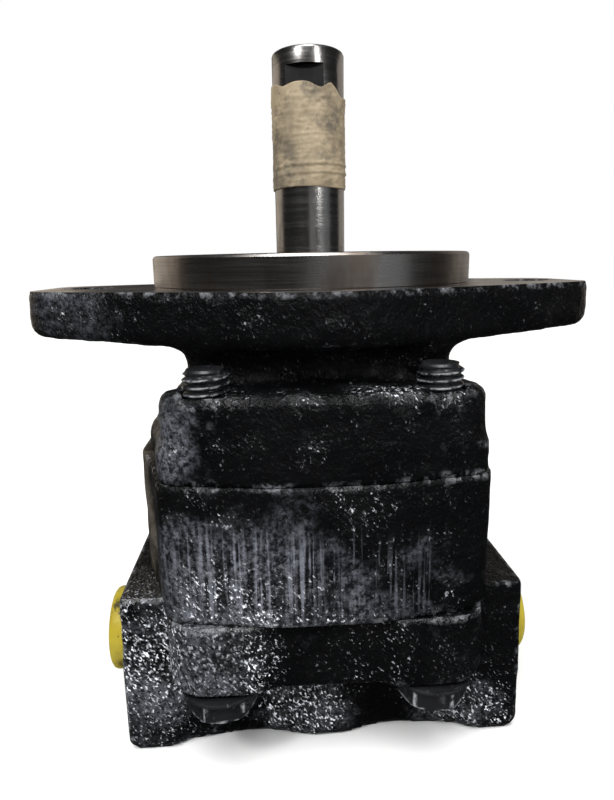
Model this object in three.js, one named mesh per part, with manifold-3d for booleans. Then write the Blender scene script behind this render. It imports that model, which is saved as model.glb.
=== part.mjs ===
// Hydraulic gear pump: three bolted cast-iron sections, a meshed pair of gear shafts, seals and port plugs.
// Millimetres, +Z up along the drive shaft towards the mounting flange, +X towards the right-hand port,
// +Y from the drive gear to the idler gear. The origin is on the drive-shaft axis at the base of the pump.
import * as THREE from "three";
import { ConvexGeometry } from "three/addons/geometries/ConvexGeometry.js";
import { mergeVertices } from "three/addons/utils/BufferGeometryUtils.js";
import Module from "manifold-3d";

const wasm = await Module();
wasm.setup();

// --- Driving dimensions -------------------------------------------------------------------------

const GAP = 0.3; // clearance left between parts that touch
const CENTRE_DISTANCE = 48; // between the drive and idler gear axes
const MID_Y = CENTRE_DISTANCE / 2;
const CHORD_ANGLE = 0.45; // most an outline's arc turns in one chord, in radians
const FAR = 500; // longer than the pump, for cuts that run right through

// Heights of the stack
const FOOT_TOP = 31.6; // top of the narrow lower part of the port end cover
const BOLT_SEAT = 30.6; // where the washers bear
const HOUSING_BOTTOM = 53.2;
const HOUSING_TOP = 93.6;
const COVER_TOP = 118; // shoulder of the shaft end cover around the neck
const LOBE_TOP = 106.5; // side lobes of the shaft end cover
const EAR_UNDERSIDE = 128.4;
const FLANGE_TOP = 143.5; // mounting face
const PILOT_TOP = 153.2;
const SHAFT_TOP = 213;

// Mounting flange, two-bolt pattern
const PILOT_R = 50.8;
const FLANGE_R = 54;
const EAR_END_X = 87;
const EAR_END_Z = 130; // underside of the ear at its end
const EAR_CORNER = { x: 75, y: 12, r: 12 };
const EAR_HOLE = { x: 73, r: 7.15 };

// Neck under the flange
const NECK = { x: 38, near: -40.5, far: 45, corner: 9 };

// Ports and port blocks
const PORT = { y: -10, z: 26.4, boreR: 12.6, depth: 22, spotR: 17, spotDepth: 0.8 };
const BLOCK = { inner: 38, x: 63, near: -39.3, far: 19.3, corner: 4.6, edge: 4 };
const BOSS_R = 38.5;
const GALLERY = { x: 21, r: 8 }; // feed passages, either side of the gear mesh

// Gears and journals
const TEETH = 12;
const GEAR_MODULE = 4;
const PRESSURE_ANGLE = (25 * Math.PI) / 180;
const BACKLASH = 0.3;
const TIP_R = 28;
const ROOT_R = 19;
const GEAR_BOTTOM = 60.7;
const GEAR_TOP = 86.1;
const JOURNAL_R = 12.7;
const JOURNAL_BOTTOM = 33;
const JOURNAL_TOP = 113;
const CHAMBER_R = TIP_R + GAP;

// Drive shaft
const SHAFT_R = 11.1125;
const SHAFT_CHAMFER = 0.8;
const SHAFT_STEP = 115;
const FLAT = { distance: 9.5, bottom: 177.2, top: 208, turn: (-10 * Math.PI) / 180 };
const TAPE = { bottom: 173, top: 201.5, thickness: 0.75, gap: 0.1 };

// Bushings and thrust plates
const BUSHING = { innerR: 13.05, outerR: 15.9, length: 20 };
const PLATE = { outerR: 28, holeR: 13.1 };
const PLATE_GROOVE = { inner: 17, outer: 20, depth: 2 };

// Shaft seal seat
const SEAL_SEAT_R = 19.4;
const SEAL_SEAT_BOTTOM = 138;
const SEAL = { outerR: 19.1, innerR: 11.45, height: 8 };
const RING = { outerR: 20.9, innerR: 16.8, thickness: 1.4, bottom: 147.6 };

// Section seals between the castings
const FACE_SEAL = { inner: 34, outer: 36.4, depth: 1.9 };

// Cap screws and washers
const SCREW = { x: 31.5, near: -47, far: 95, r: 6.35, tip: 124, holeR: 6.65 };
const HEX = { acrossFlats: 19.05, height: 6.2 };
const THREAD = { pitch: 1.954, depth: 1.1, turns: 4 };
const WASHER = { outerR: 11.6, innerR: 6.7, thickness: 1.2 };

// Dowel pins
const DOWEL = { r: 4, holeR: 4.3, length: 16, at: [[-42, -30], [42, 78]] };

// Port plugs
const PLUG = { headR: 14, head: 7.7, stemR: 12.2, stem: 11, pocketR: 10.4, pocket: 15, taper: 0.5 };

// --- Helpers ------------------------------------------------------------------------------------

// A closed geometry as a solid for booleans.
function solid(geometry) {
  const bare = geometry.clone();
  bare.deleteAttribute("normal");
  bare.deleteAttribute("uv");
  const merged = mergeVertices(bare, 1e-4);
  return new wasm.Manifold(
    new wasm.Mesh({
      numProp: 3,
      vertProperties: merged.attributes.position.array,
      triVerts: new Uint32Array(merged.index.array),
    }),
  );
}

// A solid back as a geometry with flat normals, without the slivers that booleans leave.
function geometryOf(body) {
  const mesh = body.simplify(0.02).getMesh();
  const indexed = new THREE.BufferGeometry();
  indexed.setAttribute("position", new THREE.BufferAttribute(mesh.vertProperties, 3));
  indexed.setIndex(new THREE.BufferAttribute(mesh.triVerts, 1));
  const geometry = indexed.toNonIndexed();
  geometry.computeVertexNormals();
  return geometry;
}

const union = (bodies) => bodies.reduce((all, body) => all.add(body));
const cutAll = (body, cuts) => cuts.reduce((left, cut) => left.subtract(cut), body);

// Outline through [x, y, corner radius] points, each rounded corner made of short chords.
function outline(corners) {
  const points = [];
  corners.forEach(([x, y, radius], i) => {
    const corner = new THREE.Vector2(x, y);
    if (!radius) {
      points.push(corner);
      return;
    }
    const [px, py] = corners[(i + corners.length - 1) % corners.length];
    const [nx, ny] = corners[(i + 1) % corners.length];
    const back = new THREE.Vector2(px - x, py - y).normalize();
    const ahead = new THREE.Vector2(nx - x, ny - y).normalize();
    const half = Math.acos(back.dot(ahead)) / 2;
    const centre = back
      .clone()
      .add(ahead)
      .normalize()
      .multiplyScalar(radius / Math.sin(half))
      .add(corner);
    const start = back.clone().multiplyScalar(radius / Math.tan(half)).add(corner).sub(centre);
    const end = ahead.clone().multiplyScalar(radius / Math.tan(half)).add(corner).sub(centre);
    const sweep = Math.atan2(start.cross(end), start.dot(end));
    const chords = Math.ceil(Math.abs(sweep) / CHORD_ANGLE);
    for (let k = 0; k <= chords; k++)
      points.push(start.clone().rotateAround(new THREE.Vector2(), (sweep * k) / chords).add(centre));
  });
  return new THREE.Shape(points);
}

// Right-hand corners from near to far, completed by their mirror images across X = 0.
const mirrored = (right) => [...right, ...right.map(([x, y, r]) => [-x, y, r]).reverse()];

// One corner's points from the side to the end, mirrored across X = 0 and across the mid plane.
function fourfold(quarter) {
  const far = quarter.map(([x, y, r]) => [x, MID_Y + y, r]);
  const near = quarter.map(([x, y, r]) => [x, MID_Y - y, r]).reverse();
  return mirrored([...near, ...far]);
}

function prism(shape, bottom, top) {
  const geometry = new THREE.ExtrudeGeometry(shape, { depth: top - bottom, bevelEnabled: false });
  return solid(geometry.translate(0, 0, bottom));
}

// A prism whose top or bottom edge is rounded; the other end is sharp.
function roundedPrism(shape, bottom, top, radius, roundedEnd) {
  const low = roundedEnd === "top" ? bottom - 3 * radius : bottom;
  const high = roundedEnd === "top" ? top : top + 3 * radius;
  const body = solid(
    new THREE.ExtrudeGeometry(shape, {
      depth: high - low - 2 * radius,
      bevelEnabled: true,
      bevelThickness: radius,
      bevelSize: radius,
      bevelOffset: -radius,
      bevelSegments: 2,
    }).translate(0, 0, low + radius),
  );
  const spare = roundedEnd === "top" ? [-FAR, bottom] : [top, FAR];
  return body.subtract(block([-FAR, -FAR, spare[0]], [FAR, FAR, spare[1]]));
}

// A body of revolution about Z from [radius, z] points that start and end on the axis or form a loop.
function turned(profile, segments = 24) {
  const points = profile.map(([r, z]) => new THREE.Vector2(r, z));
  return solid(new THREE.LatheGeometry(points, segments).rotateX(Math.PI / 2));
}

function cylinder(x, y, radius, bottom, top, segments = 24) {
  return turned([[0, bottom], [radius, bottom], [radius, top], [0, top]], segments).translate([x, y, 0]);
}

function tube(x, y, innerR, outerR, bottom, top, segments = 24) {
  const loop = [[innerR, bottom], [outerR, bottom], [outerR, top], [innerR, top], [innerR, bottom]];
  return turned(loop, segments).translate([x, y, 0]);
}

function block(low, high) {
  const size = high.map((v, i) => v - low[i]);
  const middle = high.map((v, i) => (v + low[i]) / 2);
  return solid(new THREE.BoxGeometry(...size).translate(...middle));
}

// Stacked convex bands between outlines at rising heights.
function flare(levels) {
  const ring = ([z, shape]) => shape.getPoints().map((p) => new THREE.Vector3(p.x, p.y, z));
  return union(
    levels.slice(1).map((level, i) => solid(new ConvexGeometry([...ring(levels[i]), ...ring(level)]))),
  );
}

// Two overlapping circles around the gear axes.
function figureEight(radius, bottom, top, segments = 36) {
  return cylinder(0, 0, radius, bottom, top, segments).add(
    cylinder(0, CENTRE_DISTANCE, radius, bottom, top, segments),
  );
}

// A straight-sided track with round ends around both gear axes.
function track(radius, bottom, top) {
  return union([
    figureEight(radius, bottom, top),
    block([-radius, 0, bottom], [radius, CENTRE_DISTANCE, top]),
  ]);
}

// --- Shared outlines ----------------------------------------------------------------------------

const housingOutline = outline(
  fourfold([[56, 42, 12], [50.5, 56.5, 10], [47.3, 68, 10], [45.6, 76.4, 7], [14, 82, 60]]),
);
const shoulderOutline = outline(fourfold([[44.9, 76.2, 8], [14, 82, 60]]));
const lobeOutline = outline(fourfold([[52.8, 42, 12], [49, 56, 10], [44.9, 76.2, 8], [14, 82, 60]]));
const portPlateOutline = outline(
  fourfold([[54.6, 42, 12], [48, 58, 12], [44.6, 81, 11.5], [20, 81, 5], [15, 78.5, 5]]),
);
const screwPlaces = [SCREW.near, SCREW.far].flatMap((y) => [[-SCREW.x, y], [SCREW.x, y]]);

function screwHoles(bottom, top) {
  return screwPlaces.map(([x, y]) => cylinder(x, y, SCREW.holeR, bottom, top, 16));
}

function dowelHoles(seam) {
  const half = DOWEL.length / 2 + GAP;
  return DOWEL.at.map(([x, y]) => cylinder(x, y, DOWEL.holeR, seam - half, seam + half, 12));
}

function bushingPockets(bottom, top) {
  return [0, CENTRE_DISTANCE].map((y) => cylinder(0, y, BUSHING.outerR + GAP, bottom, top));
}

// --- Castings -----------------------------------------------------------------------------------

// Ears and round middle of the mounting flange, thinning towards the ear ends.
function mountingFlange() {
  const rim = [];
  for (let k = 0; k < 44; k++) {
    const a = (k / 44) * 2 * Math.PI;
    rim.push([FLANGE_R * Math.cos(a), FLANGE_R * Math.sin(a)]);
  }
  for (const sx of [-1, 1])
    for (const sy of [-1, 1])
      for (let k = 0; k <= 4; k++) {
        const a = (k / 4) * (Math.PI / 2);
        const x = EAR_CORNER.x + EAR_CORNER.r * Math.cos(a);
        rim.push([sx * x, sy * (EAR_CORNER.y + EAR_CORNER.r * Math.sin(a))]);
      }
  const plan = solid(
    new ConvexGeometry(
      [EAR_UNDERSIDE - 2, FLANGE_TOP].flatMap((z) => rim.map(([x, y]) => new THREE.Vector3(x, y, z))),
    ),
  );
  const side = outline(
    mirrored([[40, EAR_UNDERSIDE, 0], [EAR_END_X, EAR_END_Z, 5], [EAR_END_X, FLANGE_TOP, 1.5]]),
  );
  const across = new THREE.ExtrudeGeometry(side, { depth: FAR, bevelEnabled: false });
  return plan.intersect(solid(across.rotateX(Math.PI / 2).translate(0, FAR / 2, 0)));
}

function neckOutline(grow) {
  const { x, near, far, corner } = NECK;
  return outline(mirrored([[x + grow, near - grow, corner + grow], [x + grow, far + grow, corner + grow]]));
}

function shaftEndCover() {
  const body = union([
    roundedPrism(shoulderOutline, HOUSING_TOP + GAP / 2, COVER_TOP, 4.5, "top"),
    roundedPrism(lobeOutline, HOUSING_TOP + GAP / 2, LOBE_TOP, 7, "top"),
    flare([
      [COVER_TOP - 1, neckOutline(4)],
      [COVER_TOP + 1.5, neckOutline(1)],
      [COVER_TOP + 3, neckOutline(0)],
      [COVER_TOP + 7.5, neckOutline(1.2)],
      [EAR_UNDERSIDE + 0.5, neckOutline(6)],
    ]),
    mountingFlange(),
    turned(
      [
        [0, FLANGE_TOP - 5],
        [PILOT_R, FLANGE_TOP - 5],
        [PILOT_R, PILOT_TOP - 1.2],
        [PILOT_R - 1.2, PILOT_TOP],
        [0, PILOT_TOP],
      ],
      56,
    ),
  ]);
  return cutAll(body, [
    ...screwHoles(HOUSING_TOP - 1, SCREW.tip + GAP),
    ...dowelHoles(HOUSING_TOP),
    ...bushingPockets(HOUSING_TOP - 1, HOUSING_TOP + BUSHING.length + 2 * GAP),
    cylinder(0, 0, SHAFT_R + 1.9, HOUSING_TOP, FAR),
    cylinder(0, 0, SEAL_SEAT_R, SEAL_SEAT_BOTTOM, FAR, 32),
    cylinder(0, 0, RING.outerR + GAP, RING.bottom - GAP, RING.bottom + RING.thickness + GAP, 32),
    ...[-1, 1].map((s) => cylinder(s * EAR_HOLE.x, 0, EAR_HOLE.r, 100, FAR)),
  ]);
}

function gearHousing() {
  const body = prism(housingOutline, HOUSING_BOTTOM + GAP / 2, HOUSING_TOP - GAP / 2);
  const grooves = [HOUSING_BOTTOM, HOUSING_TOP].map((seam) => {
    const [low, high] = [seam - FACE_SEAL.depth - GAP, seam + FACE_SEAL.depth + GAP];
    return track(FACE_SEAL.outer + GAP, low, high).subtract(track(FACE_SEAL.inner - GAP, low, high));
  });
  return cutAll(body, [
    figureEight(CHAMBER_R, 0, FAR),
    ...[-1, 1].map((s) => cylinder(s * (GALLERY.x - 1), MID_Y, GALLERY.r + 1, 0, FAR, 20)),
    ...grooves,
    ...screwHoles(0, FAR),
    ...dowelHoles(HOUSING_BOTTOM),
    ...dowelHoles(HOUSING_TOP),
  ]);
}

// Narrow lower part of the port end cover: the rear boss and the web out to the port blocks.
function footOutline() {
  return outline(
    mirrored([
      [25, -34, 0],
      [43, -36, 6],
      [49, BLOCK.near, 6],
      [BLOCK.x, BLOCK.near, BLOCK.corner],
      [BLOCK.x, BLOCK.far, BLOCK.corner],
      [44, BLOCK.far, 6],
      [39, 34, 10],
      [36, 80, 18],
    ]),
  );
}

// One side's feed: the threaded port's bore, a cross drilling and the riser to the gear mesh.
function portPassage(side) {
  const along = (radius, from, to) =>
    cylinder(0, 0, radius, from, to, 28)
      .rotate([0, 90 * side, 0])
      .translate([0, PORT.y, PORT.z]);
  const start = new THREE.Vector3(side * 34, PORT.y, PORT.z);
  const rise = new THREE.Vector3(side * GALLERY.x, MID_Y, HOUSING_BOTTOM).sub(start);
  const length = rise.length() + 8;
  const turn = new THREE.Quaternion().setFromUnitVectors(new THREE.Vector3(0, 1, 0), rise.normalize());
  const riser = new THREE.CylinderGeometry(GALLERY.r, GALLERY.r, length, 14)
    .translate(0, length / 2, 0)
    .applyQuaternion(turn)
    .translate(start.x, start.y, start.z);
  return [
    along(PORT.spotR, BLOCK.x - PORT.spotDepth, FAR),
    along(PORT.boreR, BLOCK.x - PORT.depth, FAR),
    along(GALLERY.r, 30, BLOCK.x - PORT.depth + 1),
    solid(riser),
  ];
}

function portEndCover() {
  const top = HOUSING_BOTTOM - GAP / 2;
  const { inner, x, near, far, corner, edge } = BLOCK;
  const blockOutline = (side) =>
    outline([
      [side * inner, near + 4, 0],
      [side * x, near, corner],
      [side * x, far, corner],
      [side * inner, far, 0],
    ]);
  const body = union([
    roundedPrism(portPlateOutline, BOLT_SEAT, top, 3, "bottom"),
    roundedPrism(footOutline(), 0, FOOT_TOP, edge, "bottom"),
    roundedPrism(outline(circlePoints(BOSS_R, 36)), 0, FOOT_TOP, edge, "bottom"),
    ...[-1, 1].map((side) => prism(blockOutline(side), edge + 1, top)),
  ]);
  return cutAll(body, [
    ...screwHoles(0, FAR),
    ...screwPlaces.map(([sx, sy]) => cylinder(sx, sy, WASHER.outerR + GAP, 0, BOLT_SEAT, 28)),
    ...dowelHoles(HOUSING_BOTTOM),
    ...bushingPockets(HOUSING_BOTTOM - BUSHING.length - 2 * GAP, FAR),
    ...portPassage(-1),
    ...portPassage(1),
  ]);
}

function circlePoints(radius, count) {
  return Array.from({ length: count }, (_, k) => {
    const a = (k / count) * 2 * Math.PI;
    return [radius * Math.cos(a), radius * Math.sin(a), 0];
  });
}

// --- Gears --------------------------------------------------------------------------------------

// Involute gear outline with a tooth centred on angle `phase`.
function gearOutline(phase) {
  const pitchR = (TEETH * GEAR_MODULE) / 2;
  const baseR = pitchR * Math.cos(PRESSURE_ANGLE);
  const involute = (angle) => Math.tan(angle) - angle;
  const halfAtPitch = ((Math.PI * GEAR_MODULE) / 2 - BACKLASH / 2) / (2 * pitchR);
  const halfAngle = (radius) =>
    halfAtPitch + involute(PRESSURE_ANGLE) - involute(Math.acos(Math.min(1, baseR / radius)));
  const flank = [ROOT_R, baseR, 23, 24.6, 26.3, TIP_R].map((radius) => [
    radius,
    halfAngle(Math.max(radius, baseR)) + (radius < baseR ? -0.02 : 0),
  ]);
  flank.unshift([ROOT_R, halfAngle(baseR) + 0.05]);
  const points = [];
  for (let tooth = 0; tooth < TEETH; tooth++) {
    const middle = phase + (tooth / TEETH) * 2 * Math.PI;
    const at = ([radius, half], sign) =>
      new THREE.Vector2(radius * Math.cos(middle + sign * half), radius * Math.sin(middle + sign * half));
    flank.forEach((p) => points.push(at(p, -1)));
    [...flank].reverse().forEach((p) => points.push(at(p, 1)));
  }
  return new THREE.Shape(points);
}

function driveGearShaft() {
  const gear = prism(gearOutline(Math.PI / 2), GEAR_BOTTOM, GEAR_TOP);
  const shaft = turned([
    [0, JOURNAL_BOTTOM],
    [JOURNAL_R - 0.8, JOURNAL_BOTTOM],
    [JOURNAL_R, JOURNAL_BOTTOM + 0.8],
    [JOURNAL_R, JOURNAL_TOP],
    [SHAFT_R, SHAFT_STEP],
    [SHAFT_R, SHAFT_TOP - SHAFT_CHAMFER],
    [SHAFT_R - SHAFT_CHAMFER, SHAFT_TOP],
    [0, SHAFT_TOP],
  ]);
  const flat = block([-20, -30, FLAT.bottom], [20, -FLAT.distance, FLAT.top]);
  const centre = turned([[0, SHAFT_TOP - 4], [2.6, SHAFT_TOP + 0.5], [0, SHAFT_TOP + 0.5]], 16);
  return gear
    .add(shaft)
    .subtract(flat.rotate([0, 0, THREE.MathUtils.radToDeg(FLAT.turn)]))
    .subtract(centre);
}

function idlerGearShaft() {
  const gear = prism(gearOutline(Math.PI / 2 + Math.PI / TEETH), GEAR_BOTTOM, GEAR_TOP);
  const shaft = turned([
    [0, JOURNAL_BOTTOM],
    [JOURNAL_R - 0.8, JOURNAL_BOTTOM],
    [JOURNAL_R, JOURNAL_BOTTOM + 0.8],
    [JOURNAL_R, JOURNAL_TOP - 0.8],
    [JOURNAL_R - 0.8, JOURNAL_TOP],
    [0, JOURNAL_TOP],
  ]);
  return gear.add(shaft).translate([0, CENTRE_DISTANCE, 0]);
}

function shaftTape() {
  const inner = SHAFT_R + TAPE.gap;
  return tube(0, 0, inner, inner + TAPE.thickness, TAPE.bottom, TAPE.top, 32);
}

// --- Inner parts --------------------------------------------------------------------------------

// A "3"-shaped groove or seal on a thrust plate, open towards the suction side.
function channel(inner, outer, bottom, top) {
  const rings = [0, CENTRE_DISTANCE].map((y) => tube(0, y, inner, outer, bottom, top, 28));
  const reach = (inner + outer) / 2;
  const bridge = block([8, reach - 2, bottom], [11, CENTRE_DISTANCE - reach + 2, top]);
  const suctionHalf = block([-FAR, -FAR, bottom - 1], [2, FAR, top + 1]);
  return union([...rings, bridge]).subtract(suctionHalf);
}

function thrustPlate(bottom, top, grooveAtTop) {
  const grooveLow = grooveAtTop ? top - PLATE_GROOVE.depth : bottom - 1;
  const grooveHigh = grooveAtTop ? top + 1 : bottom + PLATE_GROOVE.depth;
  return cutAll(figureEight(PLATE.outerR, bottom, top), [
    ...[0, CENTRE_DISTANCE].map((y) => cylinder(0, y, PLATE.holeR, 0, FAR)),
    channel(PLATE_GROOVE.inner - GAP, PLATE_GROOVE.outer + GAP, grooveLow, grooveHigh),
  ]);
}

function faceSeal(seam, height) {
  const low = seam === HOUSING_BOTTOM ? seam + GAP / 2 : seam - GAP / 2 - height;
  return track(FACE_SEAL.outer, low, low + height).subtract(track(FACE_SEAL.inner, low - 1, FAR));
}

function shaftSeal() {
  const { outerR, innerR, height } = SEAL;
  const bottom = SEAL_SEAT_BOTTOM + GAP;
  return turned(
    [
      [outerR, bottom],
      [outerR, bottom + height],
      [innerR + 0.9, bottom + height],
      [innerR, bottom + height - 3],
      [innerR + 1.4, bottom + height - 4.5],
      [innerR + 1.4, bottom + 1.5],
      [outerR - 2, bottom + 1.5],
      [outerR - 2, bottom],
      [outerR, bottom],
    ],
    28,
  );
}

function retainingRing() {
  const { outerR, innerR, thickness, bottom } = RING;
  const ring = tube(0, 0, innerR, outerR, bottom, bottom + thickness, 28);
  return ring.subtract(block([-5, -FAR, bottom - 1], [5, -innerR + 4, bottom + thickness + 1]));
}

function capScrew() {
  const head = BOLT_SEAT - WASHER.thickness - GAP;
  const threadTop = SCREW.tip - 1.2;
  const profile = [[0, head - 2], [SCREW.r, head - 2]];
  for (let turn = THREAD.turns; turn > 0; turn--) {
    const z = threadTop - turn * THREAD.pitch;
    profile.push([SCREW.r, z], [SCREW.r - THREAD.depth, z + THREAD.pitch / 2]);
  }
  profile.push([SCREW.r, threadTop], [SCREW.r - 1.4, SCREW.tip], [0, SCREW.tip]);
  const cornerR = HEX.acrossFlats / Math.sqrt(3);
  const hexagon = outline(circlePoints(cornerR, 6));
  const cone = turned(
    [[0, head - HEX.height], [cornerR - 1.6, head - HEX.height], [cornerR + 0.4, head - HEX.height + 1.1],
      [cornerR + 0.4, head], [0, head]],
    24,
  );
  return prism(hexagon, head - HEX.height, head).intersect(cone).add(turned(profile, 16));
}

function portPlug(side) {
  const { headR, head, stemR, stem, pocketR, pocket, taper } = PLUG;
  const seat = BLOCK.x - PORT.spotDepth + GAP;
  const outer = BLOCK.x + head;
  const plug = turned([
    [0, BLOCK.x - stem],
    [stemR - 0.8, BLOCK.x - stem],
    [stemR, BLOCK.x - stem + 1],
    [stemR, seat],
    [headR, seat],
    [headR, BLOCK.x + 1],
    [headR - taper, outer - 0.8],
    [headR - taper - 0.8, outer],
    [pocketR, outer],
    [pocketR - 0.5, outer - pocket],
    [0, outer - pocket],
  ]);
  return plug.rotate([0, 90 * side, 0]).translate([0, PORT.y, PORT.z]);
}

// --- Materials ----------------------------------------------------------------------------------

const material = (color, roughness, metalness) =>
  new THREE.MeshStandardMaterial({ color, roughness, metalness });
const blackPaint = () => material(0x1b1d20, 0.45, 0.2);
const steel = () => material(0x9a9ca0, 0.25, 1);
const screwSteel = () => material(0x26272a, 0.45, 0.7);
const rubber = () => material(0x17171a, 0.8, 0);
const bronze = () => material(0xa57c43, 0.4, 0.9);
const castTape = () => material(0xb3a37f, 0.9, 0);
const yellowPlastic = () => material(0xd9cf2c, 0.45, 0);
const sealCase = () => material(0x3a3c40, 0.4, 0.6);

// --- Assembly -----------------------------------------------------------------------------------

const pump = new THREE.Group();
pump.name = "hydraulic_gear_pump";

function place(name, body, finish) {
  const mesh = new THREE.Mesh(geometryOf(body), finish);
  mesh.name = name;
  pump.add(mesh);
}

place("port_end_cover", portEndCover(), blackPaint());
place("gear_housing", gearHousing(), blackPaint());
place("shaft_end_cover", shaftEndCover(), blackPaint());
place("drive_gear_shaft", driveGearShaft(), steel());
place("idler_gear_shaft", idlerGearShaft(), steel());
place("shaft_tape", shaftTape(), castTape());

place("thrust_plate_rear", thrustPlate(HOUSING_BOTTOM + GAP, GEAR_BOTTOM - GAP, false), bronze());
place("thrust_plate_front", thrustPlate(GEAR_TOP + GAP, HOUSING_TOP - GAP, true), bronze());
const channelHeight = PLATE_GROOVE.depth - GAP;
const channelBottoms = { rear: HOUSING_BOTTOM + GAP, front: HOUSING_TOP - GAP - channelHeight };
for (const [end, bottom] of Object.entries(channelBottoms)) {
  const seal = channel(PLATE_GROOVE.inner, PLATE_GROOVE.outer, bottom, bottom + channelHeight);
  place(`channel_seal_${end}`, seal, rubber());
}
place("section_seal_rear", faceSeal(HOUSING_BOTTOM, FACE_SEAL.depth), rubber());
place("section_seal_front", faceSeal(HOUSING_TOP, FACE_SEAL.depth), rubber());

const bushingBottoms = { rear: HOUSING_BOTTOM - BUSHING.length - GAP, front: HOUSING_TOP + GAP };
const gearAxes = { drive: 0, idler: CENTRE_DISTANCE };
for (const [end, bottom] of Object.entries(bushingBottoms))
  for (const [gear, y] of Object.entries(gearAxes)) {
    const sleeve = tube(0, y, BUSHING.innerR, BUSHING.outerR, bottom, bottom + BUSHING.length);
    place(`bushing_${end}_${gear}`, sleeve, bronze());
  }

place("shaft_lip_seal", shaftSeal(), sealCase());
place("retaining_ring", retainingRing(), steel());

screwPlaces.forEach(([x, y], i) => {
  const corner = `${i < 2 ? "near" : "far"}_${x < 0 ? "left" : "right"}`;
  const turn = [8, -10, 22, -3][i]; // each screw stopped at its own angle
  place(`cap_screw_${corner}`, capScrew().rotate([0, 0, turn]).translate([x, y, 0]), screwSteel());
  const washerBottom = BOLT_SEAT - WASHER.thickness - GAP / 2;
  const washer = tube(x, y, WASHER.innerR, WASHER.outerR, washerBottom, washerBottom + WASHER.thickness);
  place(`washer_${corner}`, washer, screwSteel());
});

for (const [seamName, seam] of Object.entries({ rear: HOUSING_BOTTOM, front: HOUSING_TOP }))
  DOWEL.at.forEach(([x, y], i) => {
    const half = DOWEL.length / 2;
    const pin = cylinder(x, y, DOWEL.r, seam - half, seam + half, 12);
    place(`dowel_pin_${seamName}_${i ? "right" : "left"}`, pin, steel());
  });

place("port_plug_left", portPlug(-1), yellowPlastic());
place("port_plug_right", portPlug(1), yellowPlastic());

export default pump;
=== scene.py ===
import math

import bpy
import numpy as np
from mathutils import Matrix, Vector


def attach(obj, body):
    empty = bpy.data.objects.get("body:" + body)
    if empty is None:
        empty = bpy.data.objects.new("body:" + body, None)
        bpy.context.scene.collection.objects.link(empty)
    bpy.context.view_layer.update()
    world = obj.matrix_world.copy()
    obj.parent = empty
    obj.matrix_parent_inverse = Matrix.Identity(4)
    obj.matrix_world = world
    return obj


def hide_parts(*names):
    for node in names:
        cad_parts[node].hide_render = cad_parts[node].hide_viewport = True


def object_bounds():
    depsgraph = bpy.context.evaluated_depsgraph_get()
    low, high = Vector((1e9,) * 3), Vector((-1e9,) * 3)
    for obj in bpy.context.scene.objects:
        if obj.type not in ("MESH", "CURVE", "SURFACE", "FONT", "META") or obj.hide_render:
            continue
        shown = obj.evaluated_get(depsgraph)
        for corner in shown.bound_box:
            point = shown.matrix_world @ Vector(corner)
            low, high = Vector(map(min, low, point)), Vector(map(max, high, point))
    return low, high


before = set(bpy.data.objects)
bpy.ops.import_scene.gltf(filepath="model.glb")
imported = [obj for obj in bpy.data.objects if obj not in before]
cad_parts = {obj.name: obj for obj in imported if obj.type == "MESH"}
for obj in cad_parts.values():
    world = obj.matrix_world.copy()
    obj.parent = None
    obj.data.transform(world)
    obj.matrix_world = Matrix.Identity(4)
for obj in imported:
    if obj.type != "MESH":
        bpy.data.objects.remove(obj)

CAD_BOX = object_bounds()
MM = 0.001

# ---------------------------------------------------------------- dimensions, mm (as in the CAD)
CENTRES = 48.0
MID_Y = CENTRES / 2
HOUSING_BOTTOM, HOUSING_TOP = 53.2, 93.6
BOLT_SEAT, FOOT_TOP = 30.6, 31.6
COVER_TOP, LOBE_TOP = 118.0, 106.5
EAR_UNDERSIDE, EAR_END_Z = 128.4, 130.0
FLANGE_TOP, PILOT_TOP, SHAFT_TOP = 143.5, 153.2, 213.0
PILOT_R, FLANGE_R, EAR_END_X = 50.8, 54.0, 87.0
EAR_HOLE_X, EAR_HOLE_R = 73.0, 7.15
EAR_ROOT_X, EAR_CORNER_Y, EAR_CORNER_R = 40, 12, 12
WAIST_DEPTH = 4.5  # how far the cover's sides draw in above the lobes
COVER_SEAM, CASTING_SEAM = 0.15, 0.13  # how far a casting's face stands back from the joint
BEARING_R, BEARING_DEPTH = 16.2, 20.6
DOWEL_XY, DOWEL_R, DOWEL_DEPTH = ((-42, -30), (42, 78)), 4.3, 8.3
GEAR_BOTTOM, GEAR_TOP, JOURNAL_BOTTOM = 60.7, 86.1, 33.0
SHAFT_R = 11.1125
SCREW_XY = {
    "near_left": (-31.5, -47.0), "near_right": (31.5, -47.0),
    "far_left": (-31.5, 95.0), "far_right": (31.5, 95.0),
}
SCREW_TURN = {"near_left": 8.0, "near_right": -10.0, "far_left": 22.0, "far_right": -3.0}
SCREW_R, SCREW_TIP, SCREW_HOLE_R = 6.35, 124.0, 6.75
THREAD_START, THREAD_PITCH, THREAD_DEPTH = 104.0, 1.954, 1.05
HEX_FLATS, HEX_CORNER_R, HEAD_HEIGHT, HEAD_GAP = 19.05, 10.86, 6.2, 1.5
HOLE_WALL = 2.8  # wall left between a screw hole and the casting's outline
PORT_Y, PORT_Z = -10.0, 26.4
BLOCK_X, BLOCK_NEAR, BLOCK_FAR = 63.0, -39.3, 19.3
HOUSING_MID = (HOUSING_BOTTOM + HOUSING_TOP) / 2
HOUSING_HALF = (HOUSING_TOP - HOUSING_BOTTOM) / 2
VOXEL = 1.1


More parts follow.
